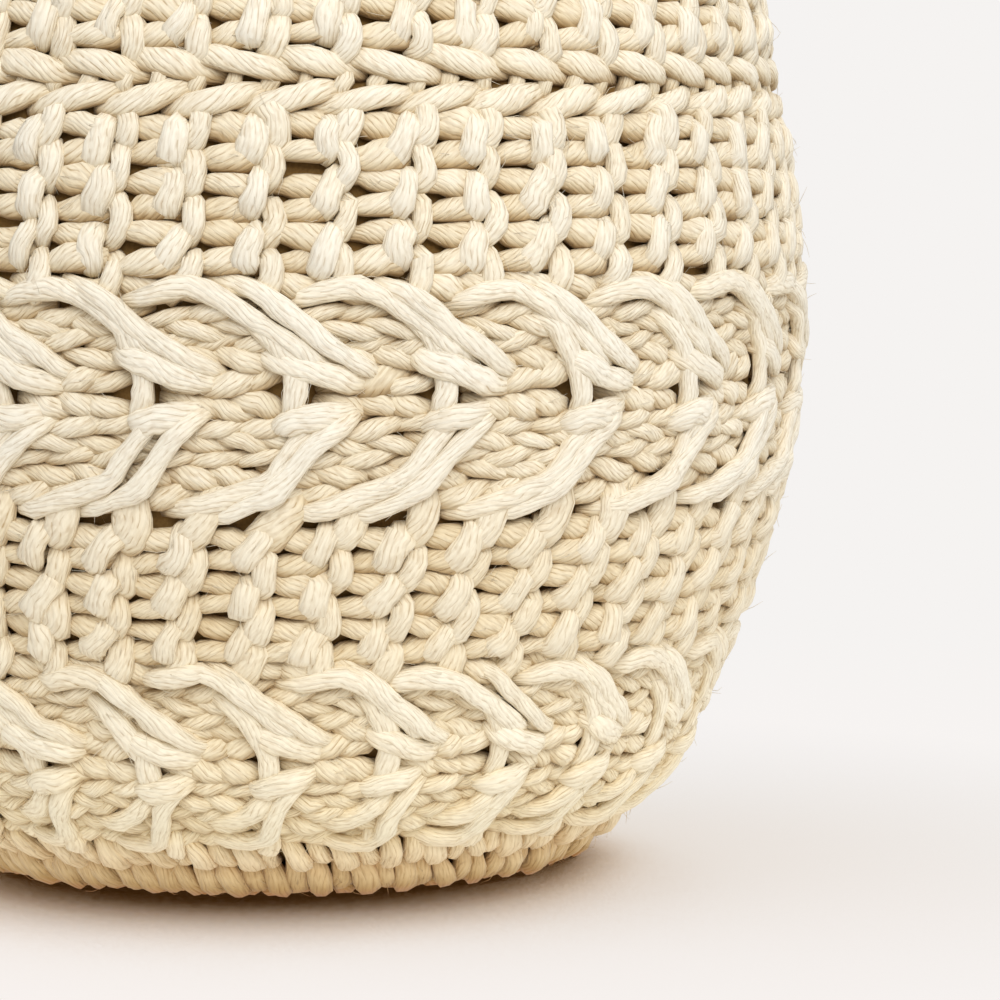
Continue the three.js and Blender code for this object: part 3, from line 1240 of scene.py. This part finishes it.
# Soft round lights: place, size, power in watts, colour. Both look at the pouf's lower middle.
KEY_LIGHT = ((0.3, -2.25, 1.7), 1.8, 40, (1.0, 0.985, 0.96))
FILL_LIGHT = ((2.1, -0.5, 0.4), 1.2, 7, (0.96, 0.98, 1.0))
LIGHT_AIM = (0, 0, 0.2)


def covered(tree, lit_from, rays):
    """How open a place on the floor is towards where the light comes from."""
    cover = tree.nodes.new("ShaderNodeAmbientOcclusion")
    cover.inputs["Distance"].default_value = SHADE_REACH
    cover.samples = rays
    normal = tree.nodes.new("ShaderNodeCombineXYZ")
    for slot, part in enumerate(Vector(lit_from).normalized()):
        normal.inputs[slot].default_value = part
    tree.links.new(normal.outputs[0], cover.inputs["Normal"])
    return cover.outputs["AO"]


def studio_floor():
    """Pale floor and backdrop that glow evenly, with painted shade where the pouf stands over it."""
    material = bpy.data.materials.new("studio_floor")
    material.use_nodes = True
    tree = material.node_tree
    tree.nodes.remove(tree.nodes["Principled BSDF"])
    length = tree.nodes.new("ShaderNodeVectorMath")
    length.operation = "LENGTH"
    tree.links.new(object_place(tree), length.inputs[0])
    far = length.outputs["Value"]

    # Painted shadow: the floor's glow is darkened where the pouf covers it from the light
    shade = ramp(tree, covered(tree, SHADE_LIT_FROM, SHADE_RAYS), FLOOR_SHADES)
    aside = ramp(tree, covered(tree, ASIDE_LIT_FROM, ASIDE_RAYS), ASIDE_SHADES)
    shade = mixed(tree, "MULTIPLY", 1.0, shade, aside)
    colour = mixed(tree, "MIX", spread(tree, far, *BACKDROP_BLEND), shade, BACKDROP_COLOUR)
    seen = tree.nodes.new("ShaderNodeEmission")
    tree.links.new(colour, seen.inputs["Color"])

    unseen = tree.nodes.new("ShaderNodeEmission")
    unseen.inputs["Color"].default_value = (*BACKDROP_COLOUR, 1)
    under = spread(tree, far, *UNDER_REACH, UNDER_SHARE * FLOOR_BOUNCE, FLOOR_BOUNCE)
    beyond = spread(tree, far, *BEYOND_REACH, 1.0, BEYOND_SHARE)
    tree.links.new(joined_math(tree, "MULTIPLY", under, beyond), unseen.inputs["Strength"])

    path = tree.nodes.new("ShaderNodeLightPath")
    choice = tree.nodes.new("ShaderNodeMixShader")
    tree.links.new(path.outputs["Is Camera Ray"], choice.inputs[0])
    tree.links.new(unseen.outputs[0], choice.inputs[1])
    tree.links.new(seen.outputs[0], choice.inputs[2])
    tree.links.new(choice.outputs[0], tree.nodes["Material Output"].inputs["Surface"])
    material.cycles.emission_sampling = "NONE"
    return material


def cove(name):
    """A round pale floor that curves up into its own backdrop."""
    line = [(0, 0, 0), (0, FLOOR_MIDDLE, 0)]
    for bend in np.linspace(0, math.pi / 2, COVE_STEPS + 1):
        line.append((0, FLOOR_REACH + COVE * math.sin(bend), COVE * (1 - math.cos(bend))))
    floor = spun(name, line)
    floor.data.materials.append(studio_floor())


def aimed(name, data, spot, ahead):
    """A light or a camera at a place, looking ahead."""
    holder = linked(name, data)
    holder.location = spot
    holder.rotation_euler = ahead.to_track_quat("-Z", "Y").to_euler()
    return holder


def soft_light(name, spot, size, power, colour):
    """A round area light that looks at the pouf."""
    lamp = bpy.data.lights.new(name, "AREA")
    lamp.shape = "DISK"
    lamp.size = size
    lamp.energy = power
    lamp.color = colour
    aimed(name, lamp, spot, Vector(LIGHT_AIM) - Vector(spot))


def studio():
    """The floor, the even light all round and the two soft lights."""
    world = bpy.data.worlds.new("studio")
    world.use_nodes = True
    sky = world.node_tree.nodes["Background"]
    sky.inputs["Color"].default_value = (*SKY_COLOUR, 1)
    sky.inputs["Strength"].default_value = SKY_STRENGTH
    bpy.context.scene.world = world
    cove("floor")
    soft_light("key", *KEY_LIGHT)
    soft_light("fill", *FILL_LIGHT)
    bpy.context.scene.view_settings.view_transform = "Standard"


# The camera stands in front, a little under the pouf's shoulder, and looks slightly right and down:
# metres, radians, and the focal length as a share of the sensor's width, which is in millimetres
CAMERA_SPOT = (0, -1.826, 0.289)
CAMERA_RIGHT = 0.053
CAMERA_DOWN = 0.077
FOCAL_SHARE = 4.316
SENSOR = 36


def camera():
    """The camera at the photograph's angle."""
    lens = bpy.data.cameras.new("camera")
    lens.sensor_width = SENSOR
    lens.lens = FOCAL_SHARE * SENSOR
    level = math.cos(CAMERA_DOWN)
    ahead = Vector(
        (math.sin(CAMERA_RIGHT) * level, math.cos(CAMERA_RIGHT) * level, -math.sin(CAMERA_DOWN))
    )
    bpy.context.scene.camera = aimed("camera", lens, CAMERA_SPOT, ahead)


def stitch_bands():
    """The cords of every band of the cover, from the base to the crown."""
    lower_middle = (arc_at(FOOT_TOP) + arc_at(LOWER_CABLE_TOP)) / 2 + LOWER_MIDDLE_RAISED
    upper_middle = (arc_at(LOWER_MESH_TOP) + arc_at(UPPER_CABLE_TOP)) / 2
    crown_foot, crown_head = arc_at(TOP_MESH_TOP), ARC[-1] - CROWN_MIDDLE_LEFT
    return {
        "base_rounds": plain_rounds(ARC[0] + BASE_MIDDLE_LEFT, -BASE_RIM_LEFT, BASE_SUNK),
        "foot_rounds": foot_rounds(),
        "lower_cable_ground": cable_ground(lower_middle, **LOWER_CABLES, **LOWER_SPANS),
        "lower_cables": crossed_cords(TOED_CORDS, lower_middle, **LOWER_CABLES),
        "lower_mesh": mesh_band(**LOWER_MESH),
        "upper_cable_ground": cable_ground(upper_middle, **UPPER_CABLES, **UPPER_SPANS),
        "upper_cables": crossed_cords(CROSSED_CORDS, upper_middle, **UPPER_CABLES),
        "upper_mesh": mesh_band(**UPPER_MESH),
        "rope_rounds": rope_rounds(),
        "top_mesh": mesh_band(**TOP_MESH),
        "crown_rounds": plain_rounds(crown_foot, crown_head, CROWN_SUNK),
    }


def dress():
    """Makes every piece, gives it its finish and seats it on the pouf."""
    cord = cotton_cord()
    bands = stitch_bands()
    bands["loose_fibres"] = loose_fibres([part for sweeps in bands.values() for part in sweeps])
    for name, sweeps in bands.items():
        piece = joined_cords(name, sweeps)
        piece.data.materials.append(cord)
        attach(piece, "root")
    pad = stuffed_pad("stuffed_pad")
    pad.data.materials.append(pad_cloth())
    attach(pad, "root")
    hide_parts("pouf")


camera()
studio()
dress()

bpy.context.view_layer.update()
